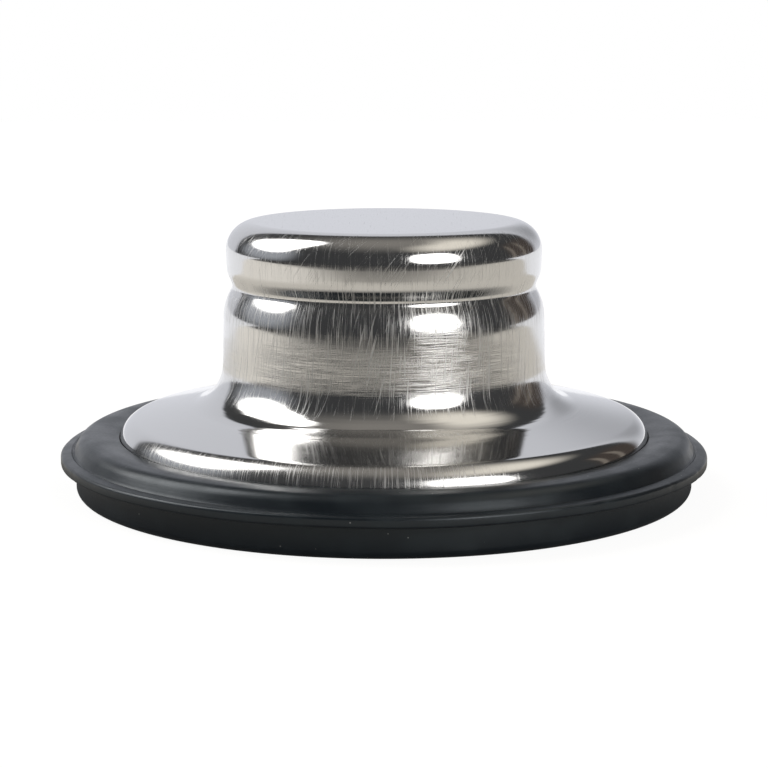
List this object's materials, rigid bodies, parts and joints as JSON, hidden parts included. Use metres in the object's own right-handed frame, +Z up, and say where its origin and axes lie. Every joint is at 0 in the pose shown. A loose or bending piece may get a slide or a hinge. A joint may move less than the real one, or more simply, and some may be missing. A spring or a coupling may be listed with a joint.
{
  "type": "drain stopper",
  "caption": "Round kitchen drain stopper: a hollow polished steel shell with a grooved finger knob and sloping flange, held in a black rubber gasket with a sealing lip.",
  "frame": {"origin": "on the axis of turning, in the plane of the gasket's base", "axes": "+Z up along the axis of turning, from the gasket's base to the top of the knob"},
  "size_m": [0.085, 0.085, 0.0351],
  "materials": {
    "polished_steel": "pressed stainless steel, polished, with fine scratches from handling",
    "black_rubber": "moulded black rubber, half matt"
  },
  "bodies": {
    "shell": {"steel_shell": "polished_steel"},
    "gasket": {"rubber_gasket": "black_rubber"}
  },
  "joints": [
    {"name": "shell_lift", "type": "slide", "parent": "gasket", "child": "shell", "axis": [0, 0, 1], "range_m": [0, 0.012], "deforming": ["rubber_gasket"]}
  ]
}
